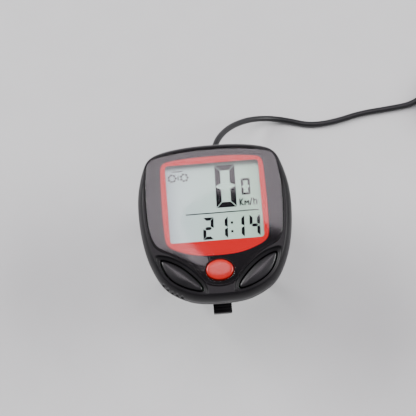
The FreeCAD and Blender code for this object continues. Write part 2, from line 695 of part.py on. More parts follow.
def cable_tie(side):
    """Closed tie round the bar and over the saddle, with its ratchet head."""
    strap_t = 1.0
    low, high = sorted((side * 10.15, side * 12.65))
    over = BAR_R + PAD_T + SADDLE_T - 0.6
    leave = math.radians(SADDLE_FROM)
    meet = leave - math.acos(BAR_R / over)

    def loop(thick):
        big = over + thick
        small = BAR_R + thick
        nx = math.cos(meet)
        nz = math.sin(meet)
        top_a = V(low, over * math.cos(leave) + nx * thick, over * math.sin(leave) + nz * thick)
        arc_a = V(low, big * math.cos(leave), big * math.sin(leave))
        low_a = V(low, small * nx, small * nz)
        flip = [V(p.x, -p.y, p.z) for p in (top_a, arc_a, low_a)]
        edges = [Part.Arc(arc_a, V(low, 0, big), flip[1]).toShape()]
        if thick:
            edges.append(Part.LineSegment(flip[1], flip[0]).toShape())
        edges.append(Part.LineSegment(flip[0], flip[2]).toShape())
        edges.append(Part.Arc(flip[2], V(low, 0, -small), low_a).toShape())
        edges.append(Part.LineSegment(low_a, top_a).toShape())
        if thick:
            edges.append(Part.LineSegment(top_a, arc_a).toShape())
        return Part.Face(Part.Wire(edges)).extrude(V(high - low, 0, 0))

    strap = loop(strap_t).cut(loop(0.0))
    head = box(low - 0.9, high + 0.9, 13.2, 16.6, -6.6, -2.4)
    head = head.makeFillet(0.4, head.Edges)
    tail = box(low + 0.1, high - 0.1, 14.7, 15.7, -8.4, -1.2)
    return strap.fuse([head.cut(loop(0.0)), tail])


# ---------------------------------------------------------------- lead and sensor
def lead_coil():
    """Space of the put-away turns: a fat ring lying on the surface."""
    x, y = COIL_AT
    half = COIL_WIDE / 2
    body = ring(x, y, COIL_R + half, COIL_R - half, FLOOR_Z, FLOOR_Z + COIL_WIDE)
    rims = [e for e in body.Edges if len(e.Vertexes) == 1]
    return body.makeFillet(1.4, rims)


def coil_tie():
    """Bag tie wound round the turns."""
    x, y = COIL_AT
    half = COIL_WIDE / 2
    gap = 0.15
    low = x - COIL_R - half - gap
    high = x - COIL_R + half + gap
    top = FLOOR_Z + COIL_WIDE + 1.0
    outer = box(low - 0.8, high + 0.8, y - COIL_TIE_W / 2, y + COIL_TIE_W / 2, FLOOR_Z, top)
    long_edges = [e for e in outer.Edges if abs(e.tangentAt(e.FirstParameter).y) > 0.9]
    outer = outer.makeFillet(1.6, long_edges)
    inner = box(low, high, y - COIL_TIE_W, y + COIL_TIE_W, FLOOR_Z, FLOOR_Z + COIL_WIDE + gap)
    return outer.cut(inner)


def sensor_housing():
    """Fork sensor: upper shell with rounded nose."""
    x, y = SENSOR_AT
    body = rounded_box(x - 6.0, x + 6.0, y - 27.0, y + 4.0, FLOOR_Z + 1.2, FLOOR_Z + 10.0, 3.0)
    top = [e for e in body.Edges if e.BoundBox.ZMin > FLOOR_Z + 9.9]
    body = body.makeFillet(1.8, top)
    body = body.cut(rounded_box(x - 4.6, x + 4.6, y - 25.6, y + 2.6, FLOOR_Z + 1.2, FLOOR_Z + 8.4, 1.8))
    return body.cut(Part.makeCylinder(1.9, 5.0, V(x, y + 1.0, FLOOR_Z + 3.2), V(0, 1, 0)))


def sensor_base():
    """Plate that closes the sensor, with the seat for the fork blade pad."""
    x, y = SENSOR_AT
    return rounded_box(x - 4.5, x + 4.5, y - 25.5, y + 2.5, FLOOR_Z + 0.9, FLOOR_Z + 2.0, 1.7)


def sensor_pad():
    """Rubber pad that grips the fork blade."""
    x, y = SENSOR_AT
    return rounded_box(x - 5.4, x + 5.4, y - 26.2, y + 3.2, FLOOR_Z, FLOOR_Z + 0.9, 2.4)


def reed_switch():
    """Glass capsule with its two leads."""
    x, y = SENSOR_AT
    z = FLOOR_Z + 5.6
    tube = Part.makeCylinder(1.1, 12.0, V(x, y - 19.0, z), V(0, 1, 0))
    return tube.fuse(Part.makeCylinder(0.3, 18.0, V(x, y - 22.0, z), V(0, 1, 0)))


def sensor_strain_relief():
    """Sleeve where the lead enters the sensor."""
    x, y = SENSOR_AT
    z = FLOOR_Z + 3.2
    body = Part.makeCylinder(1.85, 1.4, V(x, y + 2.7, z), V(0, 1, 0))
    body = body.fuse(Part.makeCone(2.2, 1.35, 4.8, V(x, y + 4.1, z), V(0, 1, 0)))
    return body.cut(Part.makeCylinder(CORD_R, 9.0, V(x, y + 1.0, z), V(0, 1, 0)))


# ---------------------------------------------------------------- write every part
def all_parts():
    """Name and shape of each node."""
    parts = {maker.__name__: maker() for maker in (
        front_case, rear_case, case_screws, case_gasket, lens, lens_black_print, lens_red_print,
        display_front_glass, display_rear_glass, display_reflector, display_segments,
        display_holder, zebra_strip, circuit_board, processor, crystal, board_components,
        key_domes, key_rubbers, battery, battery_top_contact, battery_cover_contact,
        battery_cover, battery_cover_seal, rear_contacts, contact_springs, centre_key,
        bracket_base, bracket_pad, release_latch, latch_spring, pin_springs, strain_relief,
        lead_coil, coil_tie, sensor_housing, sensor_base, sensor_pad, reed_switch,
        sensor_strain_relief)}
    for side, leaf in LEAVES.items():
        parts[f"{side}_key"] = side_key(leaf)
    for side, sign in (("left", -1), ("right", 1)):
        parts[f"contact_pin_{side}"] = contact_pin(sign * PIN_X)
        parts[f"cable_tie_{side}"] = cable_tie(sign)
    parts["lead_run"] = lead(LEAD_ROUTE, CORD_R, "lead_run")
    parts["lead_tail"] = lead(TAIL_ROUTE, CORD_R, "lead_tail")
    return parts


def main():
    os.makedirs("parts", exist_ok=True)
    for name, shape in all_parts().items():
        solids = shape.Solids
        shape = solids[0] if len(solids) == 1 else Part.makeCompound(solids)
        if not shape.isValid():
            print("invalid:", name)
        print(f"{name}: {len(solids)} solids, {shape.Volume:.1f} mm3")
        shape.exportStep(f"parts/{name}.step")


main()
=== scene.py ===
"""Wired handlebar cycling computer: head, face, keys, bracket, lead and sensor.

Lengths are written in millimetres and turned to metres where a mesh is made. X runs along the
handlebar, Y forwards along the bicycle and Z up, out of the display.
"""
from __future__ import annotations

import logging
import math
from dataclasses import dataclass
from enum import Enum
from typing import Sequence

import bmesh
import bpy
from mathutils import Matrix, Vector


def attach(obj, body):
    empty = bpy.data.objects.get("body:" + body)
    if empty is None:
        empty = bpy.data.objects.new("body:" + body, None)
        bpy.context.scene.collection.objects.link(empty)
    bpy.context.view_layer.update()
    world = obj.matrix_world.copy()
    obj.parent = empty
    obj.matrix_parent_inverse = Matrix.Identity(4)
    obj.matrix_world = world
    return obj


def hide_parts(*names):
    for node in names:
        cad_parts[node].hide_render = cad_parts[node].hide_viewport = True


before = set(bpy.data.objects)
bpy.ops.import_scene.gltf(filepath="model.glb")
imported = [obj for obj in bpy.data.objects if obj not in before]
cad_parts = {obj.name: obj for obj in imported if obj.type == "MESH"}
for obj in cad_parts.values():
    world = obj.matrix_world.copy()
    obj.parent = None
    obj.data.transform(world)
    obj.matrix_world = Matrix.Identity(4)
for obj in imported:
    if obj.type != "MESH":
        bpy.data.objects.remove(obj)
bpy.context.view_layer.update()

MM = 0.001
log = logging.getLogger("cycling_computer")

Point = tuple[float, float]
Ring = list[Vector]

# Plan outlines: right half of each polygon, from the top round to the bottom. The outline is
# the smooth curve that touches the middle of every side.
CASE_HALF: list[Point] = [
    (6.0, 25.1), (15.0, 24.0), (20.2, 22.0), (22.4, 16.5), (23.95, 9.5), (23.95, 1.0),
    (23.0, -6.5), (21.3, -13.0), (17.8, -19.7), (12.6, -23.2), (6.5, -25.3)]
LENS_HALF: list[Point] = [
    (6.0, 22.8), (14.0, 21.9), (19.9, 20.5), (20.9, 15.5), (21.35, 8.0), (21.1, 0.0),
    (20.4, -5.0), (18.8, -8.2), (14.5, -9.9), (9.8, -13.3), (6.6, -16.8), (4.6, -20.0),
    (1.6, -20.95)]
LEAF: list[Point] = [
    (16.6, -11.5), (18.5, -11.2), (17.4, -15.2), (15.3, -18.2), (12.1, -20.4), (8.4, -21.9),
    (5.2, -22.5), (5.6, -20.3), (8.3, -17.1), (11.2, -14.4), (14.2, -12.5)]

PARTING_Z = 29.2
DECK_UNDER_Z = 32.0
POCKET_Z = 33.4
FACE_Z = 34.6
LENS_TOP_Z = 35.0
KEY_PLACE: Point = (0.0, -16.0)
KEY_HALF: Point = (4.2, 3.15)
CORD_D = 2.0
FLOOR_Z = -13.7


# ------------------------------------------------------------------ outlines
def mirrored(half: Sequence[Point]) -> list[Point]:
    """Whole polygon from its right half."""
    return list(half) + [(-x, y) for x, y in reversed(half)]


def flipped(points: Sequence[Point]) -> list[Point]:
    """Polygon on the other side of X = 0, running the same way round."""
    return [(-x, y) for x, y in reversed(points)]


def inset(points: Sequence[Point], depth: float) -> list[Point]:
    """Move every side of a clockwise polygon inwards.

    Args:
        points: corners in millimetres.
        depth: distance, negative to move outwards.

    Returns:
        The corners of the moved polygon.
    """
    sides = []
    for (ax, ay), (bx, by) in zip(points, list(points[1:]) + [points[0]]):
        length = math.hypot(bx - ax, by - ay)
        ux, uy = (bx - ax) / length, (by - ay) / length
        sides.append((ax + uy * depth, ay - ux * depth, ux, uy))
    moved = []
    for (px, py, ux, uy), (qx, qy, vx, vy) in zip([sides[-1]] + sides[:-1], sides):
        along = ((qx - px) * vy - (qy - py) * vx) / (ux * vy - uy * vx)
        moved.append((px + ux * along, py + uy * along))
    return moved


def smooth(points: Sequence[Point], steps: int = 14) -> list[Point]:
    """Points along the curve that touches the middle of each side of a polygon."""
    curve = []
    count = len(points)
    for i in range(count):
        before, corner, after = (Vector(points[(i + k) % count]) for k in (-1, 0, 1))
        start, end = (before + corner) / 2, (corner + after) / 2
        for k in range(steps):
            t = k / steps
            p = start * (1 - t) ** 2 + corner * 2 * t * (1 - t) + end * t ** 2
            curve.append((p.x, p.y))
    return curve


def around(curve: Sequence[Point], z: float, centre: Point, count: int) -> Ring:
    """Sample a closed curve at even angles about a point.

    Args:
        curve: closed curve in millimetres.
        z: height of the ring.
        centre: point that the curve goes round.
        count: number of points.

    Returns:
        The ring, in millimetres, anticlockwise from +X.
    """
    cx, cy = centre
    polar = sorted((math.atan2(y - cy, x - cx) % math.tau, math.hypot(x - cx, y - cy))
                   for x, y in curve)
    polar = [(polar[-1][0] - math.tau, polar[-1][1])] + polar
    polar.append((polar[1][0] + math.tau, polar[1][1]))
    ring, k = [], 0
    for i in range(count):
        angle = math.tau * i / count
        while polar[k + 1][0] < angle:
            k += 1
        (a0, r0), (a1, r1) = polar[k], polar[k + 1]
        radius = r0 + (r1 - r0) * (angle - a0) / max(a1 - a0, 1e-9)
        ring.append(Vector((cx + radius * math.cos(angle), cy + radius * math.sin(angle), z)))
    return ring


def ellipse(a: float, b: float, z: float, centre: Point, count: int) -> Ring:
    """Elliptical ring in millimetres."""
    return [Vector((centre[0] + a * math.cos(math.tau * i / count),
                    centre[1] + b * math.sin(math.tau * i / count), z)) for i in range(count)]


def shrunk(ring: Ring, share: float, z: float) -> Ring:
    """Ring drawn in towards its middle."""
    middle = sum(ring, Vector()) / len(ring)
    return [Vector((middle.x + (p.x - middle.x) * share, middle.y + (p.y - middle.y) * share, z))
            for p in ring]


def rounded_rectangle(x0: float, x1: float, y0: float, y1: float, radius: float) -> list[Point]:
    """Points round a rectangle with arc corners, in millimetres."""
    corners = [(x1 - radius, y1 - radius, 0), (x0 + radius, y1 - radius, 90),
               (x0 + radius, y0 + radius, 180), (x1 - radius, y0 + radius, 270)]
    points = []
    for cx, cy, start in corners:
        for k in range(9):
            angle = math.radians(start + 90 * k / 8)
            points.append((cx + radius * math.cos(angle), cy + radius * math.sin(angle)))
    dense = []
    for (ax, ay), (bx, by) in zip(points, points[1:] + points[:1]):
        steps = max(1, round(math.hypot(bx - ax, by - ay) / 0.3))
        dense += [(ax + (bx - ax) * k / steps, ay + (by - ay) * k / steps) for k in range(steps)]
    return dense


# ------------------------------------------------------------------ modelling
def deselect() -> None:
    """Clear the selection before an operator acts on it."""
    bpy.ops.object.select_all(action="DESELECT")


def only(piece: bpy.types.Object) -> None:
    """Select one object and make it active."""
    deselect()
    piece.select_set(True)
    bpy.context.view_layer.objects.active = piece


class Skin:
    """Mesh grown from a circle by extruding its rim from ring to ring."""

    def __init__(self, name: str, first: Ring) -> None:
        """Start the skin on its first ring.

        Args:
            name: name of the new object.
            first: ring in millimetres.
        """
        deselect()
        bpy.ops.mesh.primitive_circle_add(vertices=len(first), radius=1.0)
        self.piece: bpy.types.Object = bpy.context.object
        self.piece.name = self.piece.data.name = name
        for vertex, place in zip(self.piece.data.vertices, first):
            vertex.co = place * MM
        bpy.ops.object.mode_set(mode="EDIT")
        bpy.ops.mesh.select_all(action="SELECT")
        self.slot: dict[tuple[float, ...], int] = {}
        self._note(range(len(first)))

    @staticmethod
    def _key(place: Vector) -> tuple[float, ...]:
        """Rounded place, to find the same vertex again."""
        return tuple(round(c, 7) for c in place)

    def _note(self, order: Sequence[int]) -> None:
        """Remember which step round the ring each selected vertex is."""
        mesh = bmesh.from_edit_mesh(self.piece.data)
        chosen = [v for v in mesh.verts if v.select]
        self.slot = {self._key(v.co): k for v, k in zip(chosen, order)}

    def grow(self, *rings: Ring) -> "Skin":
        """Extrude the rim through more rings."""
        for ring in rings:
            bpy.ops.mesh.extrude_edges_indiv()
            mesh = bmesh.from_edit_mesh(self.piece.data)
            chosen = [v for v in mesh.verts if v.select]
            order = [self.slot[self._key(v.co)] for v in chosen]
            for vertex, k in zip(chosen, order):
                vertex.co = ring[k] * MM
            bmesh.update_edit_mesh(self.piece.data)
            self._note(order)
        return self

    def cap(self) -> "Skin":
        """Fill the rim that is selected."""
        bpy.ops.mesh.edge_face_add()
        return self

    def cap_open_ends(self) -> "Skin":
        """Fill every rim that is still open."""
        bpy.ops.mesh.select_all(action="DESELECT")
        bpy.ops.mesh.select_non_manifold(extend=False)
        bpy.ops.mesh.edge_face_add()
        return self

    def join_ends(self) -> "Skin":
        """Bridge the first and the last ring of a skin that closes on itself."""
        bpy.ops.mesh.select_all(action="DESELECT")
        bpy.ops.mesh.select_non_manifold(extend=False)
        bpy.ops.mesh.bridge_edge_loops()
        return self

    def done(self, angle: float = 35.0) -> bpy.types.Object:
        """Turn the faces outwards and shade them.

        Args:
            angle: edges sharper than this, in degrees, stay sharp.

        Returns:
            The finished object.
        """
        bpy.ops.mesh.select_all(action="SELECT")
        bpy.ops.mesh.normals_make_consistent(inside=False)
        bpy.ops.object.mode_set(mode="OBJECT")
        only(self.piece)
        bpy.ops.object.shade_smooth_by_angle(angle=math.radians(angle))
        return self.piece


def solid(name: str, rings: Sequence[Ring], angle: float = 35.0) -> bpy.types.Object:
    """Closed solid through a stack of rings with a face at each end."""
    skin = Skin(name, rings[0]).grow(*rings[1:])
    return skin.cap_open_ends().done(angle)


def carve(piece: bpy.types.Object, cutter: bpy.types.Object, angle: float = 35.0) -> None:
    """Cut one closed mesh out of another and drop the cutter.

    Args:
        piece: mesh that keeps its name.
        cutter: mesh that is used up.
        angle: shading angle in degrees.
    """
    only(piece)
    cut = piece.modifiers.new("carve", "BOOLEAN")
    cut.operation = "DIFFERENCE"
    cut.solver = "EXACT"
    cut.object = cutter
    bpy.ops.object.modifier_apply(modifier=cut.name)
    bpy.data.objects.remove(cutter, do_unlink=True)
    bpy.ops.object.shade_smooth_by_angle(angle=math.radians(angle))


def place(piece: bpy.types.Object, body: str, slot: str, look: bpy.types.Material,
          *nodes: str) -> bpy.types.Object:
    """Give a piece its body and material.

    Args:
        piece: finished object.
        body: CAD body that carries it.
        slot: not used.
        look: material.
        nodes: CAD nodes that it stands for.

    Returns:
        The same object.
    """
    piece.data.materials.clear()
    piece.data.materials.append(look)
    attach(piece, body)
    if nodes:
        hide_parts(*nodes)
    log.info("%s rides on %s", piece.name, body)
    return piece


def softened(node: str, name: str, body: str, slot: str, look: bpy.types.Material,
             edge: float = 0.12) -> bpy.types.Object:
    """Stand in for a CAD node with a copy whose edges are broken as a mould breaks them.

    Args:
        node: CAD node that is copied.
        name: name of the piece.
        body: CAD body that carries it.
        slot: not used.
        look: material.
        edge: width of the edge break in millimetres, or 0 for none.

    Returns:
        The new object.
    """
    source = bpy.data.objects[node]
    piece = bpy.data.objects.new(name, source.data.copy())
    bpy.context.scene.collection.objects.link(piece)
    only(piece)
    bpy.ops.object.mode_set(mode="EDIT")
    bpy.ops.mesh.select_all(action="SELECT")
    bpy.ops.mesh.remove_doubles(threshold=0.002 * MM)
    bpy.ops.mesh.dissolve_limited(angle_limit=math.radians(0.5))
    bpy.ops.object.mode_set(mode="OBJECT")
    if edge:
        bevel = piece.modifiers.new("edge break", "BEVEL")
        bevel.width = edge * MM
        bevel.segments = 2
        bevel.limit_method = "ANGLE"
        bevel.angle_limit = math.radians(38)
        bevel.use_clamp_overlap = True
        bpy.ops.object.modifier_apply(modifier=bevel.name)
    bpy.ops.object.shade_smooth_by_angle(angle=math.radians(38))
    return place(piece, body, slot, look, node)


# ------------------------------------------------------------------ materials
def linear(hex_colour: str) -> tuple[float, float, float, float]:
    """Turn an sRGB hex colour to linear RGBA."""
    parts = [int(hex_colour[i:i + 2], 16) / 255 for i in (1, 3, 5)]
    red, green, blue = (c / 12.92 if c <= 0.04045 else ((c + 0.055) / 1.055) ** 2.4 for c in parts)
    return red, green, blue, 1.0


def add(tree: bpy.types.NodeTree, kind: str, sockets: dict | None = None,
        **settings: object) -> bpy.types.Node:
    """Add a shader node with its settings, values and links.

    Args:
        tree: node tree.
        kind: node type, without its ShaderNode prefix.
        sockets: value or linked output for each named input.
        settings: attributes of the node.

    Returns:
        The node.
    """
    node = tree.nodes.new("ShaderNode" + kind)
    for name, value in settings.items():
        setattr(node, name, value)
    for name, value in (sockets or {}).items():
        if isinstance(value, bpy.types.NodeSocket):
            tree.links.new(value, node.inputs[name])
        else:
            node.inputs[name].default_value = value
    return node


def blank(name: str) -> tuple[bpy.types.Material, bpy.types.NodeTree, bpy.types.NodeSocket]:
    """New material, its empty tree and the object coordinates."""
    look = bpy.data.materials.new(name)
    look.use_nodes = True
    tree = look.node_tree
    tree.nodes.clear()
    return look, tree, add(tree, "TexCoord").outputs["Object"]


def finish_with(tree: bpy.types.NodeTree, shader: bpy.types.Node) -> None:
    """Send a shader to the material's output."""
    add(tree, "OutputMaterial", {"Surface": shader.outputs[0]})


@dataclass(frozen=True)
class Moulded:
    """Injection-moulded plastic: spark-eroded grain, faint flow marks and rubbed patches."""

    name: str
    colour: str
    worn: str
    roughness: float = 0.42
    grain_mm: float = 0.22
    grain_depth: float = 0.12
    coat: float = 0.0
    shine: float = 0.5

    def make(self) -> bpy.types.Material:
        """Build the material."""
        look, tree, at = blank(self.name)
        grain = add(tree, "TexNoise", {"Vector": at, "Scale": 1 / (self.grain_mm * MM),
                                       "Detail": 2.0, "Roughness": 0.6})
        flow = add(tree, "TexNoise", {"Vector": at, "Scale": 1 / (7 * MM), "Detail": 4.0})
        tone = add(tree, "MapRange", {"Value": flow.outputs["Fac"], "From Min": 0.35,
                                      "From Max": 0.7})
        tint = add(tree, "Mix", data_type="RGBA")
        tree.links.new(tone.outputs["Result"], tint.inputs["Factor"])
        tint.inputs["A"].default_value = linear(self.colour)
        tint.inputs["B"].default_value = linear(self.worn)
        rough = add(tree, "MapRange", {"Value": flow.outputs["Fac"], "From Min": 0.3,
                                       "From Max": 0.7, "To Min": self.roughness - 0.05,
                                       "To Max": self.roughness + 0.06})
        bump = add(tree, "Bump", {"Height": grain.outputs["Fac"], "Strength": self.grain_depth,
                                  "Distance": 0.02 * MM})
        shader = add(tree, "BsdfPrincipled", {
            "Base Color": tint.outputs["Result"], "Roughness": rough.outputs["Result"],
            "Normal": bump.outputs["Normal"], "Specular IOR Level": self.shine,
            "Coat Weight": self.coat,
            "Coat Roughness": 0.12})
        finish_with(tree, shader)
        return look


@dataclass(frozen=True)
class ClearPlate:
    """Clear acrylic: see-through, mirroring at its surface, with fine dust and roughness that varies in
    patches.
    """

    name: str
    tint: str
    ior: float
    roughness: float = 0.04
    dust: float = 0.004

    def make(self) -> bpy.types.Material:
        """Build the material."""
        look, tree, at = blank(self.name)
        through = add(tree, "BsdfTransparent", {"Color": linear(self.tint)})
        haze = add(tree, "TexNoise", {"Vector": at, "Scale": 1 / (9 * MM), "Detail": 5.0})
        rough = add(tree, "MapRange", {"Value": haze.outputs["Fac"], "From Min": 0.35,
                                       "From Max": 0.75, "To Min": self.roughness * 0.7,
                                       "To Max": self.roughness * 1.6})
        shine = add(tree, "BsdfGlossy", {"Color": (1, 1, 1, 1),
                                         "Roughness": rough.outputs["Result"]})
        angle = add(tree, "Fresnel", {"IOR": self.ior})
        inside = add(tree, "NewGeometry")
        share = add(tree, "Mix", {"Factor": inside.outputs["Backfacing"],
                                  "A": angle.outputs["Fac"], "B": 0.0}, data_type="FLOAT")
        plate = add(tree, "MixShader", {0: share.outputs[0], 1: through.outputs[0],
                                        2: shine.outputs[0]})
        specks = add(tree, "TexVoronoi", {"Vector": at, "Scale": 1 / (1.6 * MM)})
        speck = add(tree, "MapRange", {"Value": specks.outputs["Distance"], "From Min": 0.03,
                                       "From Max": 0.06, "To Min": self.dust * 8,
                                       "To Max": self.dust})
        film = add(tree, "BsdfDiffuse", {"Color": linear("#B9B4B4")})
        whole = add(tree, "MixShader", {0: speck.outputs["Result"], 1: plate.outputs[0],
                                        2: film.outputs[0]})
        finish_with(tree, whole)
        return look


@dataclass(frozen=True)
class Ink:
    """Ink bonded under a clear sheet: no shine of its own, with the soft mesh of its screen."""

    name: str
    colour: str
    edge: str
    roughness: float = 0.5

    def make(self) -> bpy.types.Material:
        """Build the material."""
        look, tree, at = blank(self.name)
        mesh = add(tree, "TexNoise", {"Vector": at, "Scale": 1 / (0.5 * MM), "Detail": 1.0})
        tint = add(tree, "Mix", data_type="RGBA")
        tree.links.new(mesh.outputs["Fac"], tint.inputs["Factor"])
        tint.inputs["A"].default_value = linear(self.colour)
        tint.inputs["B"].default_value = linear(self.edge)
        shader = add(tree, "BsdfPrincipled", {"Base Color": tint.outputs["Result"],
                                              "Roughness": self.roughness,
                                              "Specular IOR Level": 0.04})
        finish_with(tree, shader)
        return look


@dataclass(frozen=True)
class LiquidCrystalBack:
    """Transflective film behind the cell: pale grey-green, bluer to the left, faintly grainy."""

    name: str = "transflective film"
    left: str = "#E8F6FC"
    right: str = "#D6F6DF"

    def make(self) -> bpy.types.Material:
        """Build the material."""
        look, tree, at = blank(self.name)
        split = add(tree, "SeparateXYZ", {"Vector": at})
        side = add(tree, "MapRange", {"Value": split.outputs["X"], "From Min": -15 * MM,
                                      "From Max": 12 * MM})
        tint = add(tree, "Mix", data_type="RGBA")
        tree.links.new(side.outputs["Result"], tint.inputs["Factor"])
        tint.inputs["A"].default_value = linear(self.left)
        tint.inputs["B"].default_value = linear(self.right)
        grain = add(tree, "TexNoise", {"Vector": at, "Scale": 1 / (0.16 * MM), "Detail": 2.0})
        dark = add(tree, "MapRange", {"Value": grain.outputs["Fac"], "From Min": 0.3,
                                      "From Max": 0.7, "To Min": 0.94, "To Max": 1.03})
        spread = add(tree, "Mix", data_type="RGBA", blend_type="MULTIPLY")
        spread.inputs["Factor"].default_value = 1.0
        tree.links.new(tint.outputs["Result"], spread.inputs["A"])
        tree.links.new(dark.outputs["Result"], spread.inputs["B"])
        shader = add(tree, "BsdfPrincipled", {"Base Color": spread.outputs["Result"],
                                              "Metallic": 0.4, "Roughness": 0.42})
        finish_with(tree, shader)
        return look


@dataclass(frozen=True)
class Metal:
    """Rolled or plated metal: bright, with fine drawing lines."""

    name: str
    colour: str
    roughness: float = 0.28

    def make(self) -> bpy.types.Material:
        """Build the material."""
        look, tree, at = blank(self.name)
        stretch = add(tree, "Mapping", {"Vector": at, "Scale": (1.0, 14.0, 14.0)})
        lines = add(tree, "TexNoise", {"Vector": stretch.outputs[0], "Scale": 1 / (2.5 * MM),
                                       "Detail": 3.0})
        rough = add(tree, "MapRange", {"Value": lines.outputs["Fac"],
                                       "To Min": self.roughness - 0.08,
                                       "To Max": self.roughness + 0.1})
        tint = add(tree, "Mix", data_type="RGBA")
        tree.links.new(lines.outputs["Fac"], tint.inputs["Factor"])
        tint.inputs["A"].default_value = linear(self.colour)
        tint.inputs["B"].default_value = [c * 0.8 for c in linear(self.colour)[:3]] + [1.0]
        shader = add(tree, "BsdfPrincipled", {"Base Color": tint.outputs["Result"],
                                              "Metallic": 1.0,
                                              "Roughness": rough.outputs["Result"]})
        finish_with(tree, shader)
        return look


@dataclass(frozen=True)
class SolderMask:
    """Green solder mask over copper tracks on glass epoxy."""

    name: str = "solder mask"

    def make(self) -> bpy.types.Material:
        """Build the material."""
        look, tree, at = blank(self.name)
        tracks = add(tree, "TexBrick", {"Vector": at, "Scale": 1 / (4 * MM),
                                        "Color1": linear("#1F6B3A"), "Color2": linear("#195A31"),
                                        "Mortar": linear("#2E8A4C"), "Mortar Size": 0.06})
        shader = add(tree, "BsdfPrincipled", {"Base Color": tracks.outputs["Color"],
                                              "Roughness": 0.35})
        finish_with(tree, shader)
        return look


class Looks:
    """Every finish of the object, made once."""

    def __init__(self) -> None:
        """Build the materials."""
        self.case = Moulded("satin black ABS", "#111012", "#181619", 0.4, 0.2, 0.10, shine=0.22).make()
        self.rear = Moulded("textured black ABS", "#1A191B", "#242325", 0.5, 0.3, 0.3).make()
        self.key_red = Moulded("red silicone key", "#BE1C14", "#CC261C", 0.28, 0.25, 0.06).make()
        self.key_black = Moulded("black ABS key", "#121113", "#19171A", 0.33, 0.2, 0.08, shine=0.5).make()
        self.rubber = Moulded("black rubber", "#151516", "#1D1D1E", 0.72, 0.35, 0.35).make()
        self.grey_rubber = Moulded("grey silicone", "#8A8B8C", "#7C7D7E", 0.6, 0.3, 0.15).make()
        self.nylon = Moulded("black nylon", "#161617", "#1F1F20", 0.38, 0.25, 0.12).make()
        self.sheath = Moulded("black PVC sheath", "#121214", "#1C1C1F", 0.42, 0.3, 0.15).make()
        self.white = Moulded("white ABS", "#D9D8D4", "#CFCEC9", 0.45, 0.25, 0.12).make()
        self.resin = Moulded("black resin", "#0C0C0D", "#131314", 0.15, 0.8, 0.05).make()
        self.ceramic = Moulded("tan ceramic", "#9A7F5E", "#8A7152", 0.5, 0.2, 0.1).make()
        self.lens = ClearPlate("clear acrylic", "#FBFAFB", 1.47).make()
        self.glass = ClearPlate("display glass", "#F8FBF9", 1.12, 0.06, 0.0).make()
        self.black_ink = Ink("black ink", "#0D0C0E", "#141216", 0.45).make()
        self.red_ink = Ink("red ink", "#D2171B", "#DA1C20", 0.5).make()
        self.segment_ink = Ink("liquid crystal", "#0F0F14", "#17171D", 0.5).make()
        self.film = LiquidCrystalBack().make()
        self.steel = Metal("nickel-plated steel", "#C9C8C4").make()
        self.brass = Metal("sprung brass", "#D7B56A").make()
        self.board = SolderMask().make()


# ------------------------------------------------------------------ studio
class Side(Enum):
    """The two mirrored halves of the object."""

    LEFT = -1
    RIGHT = 1


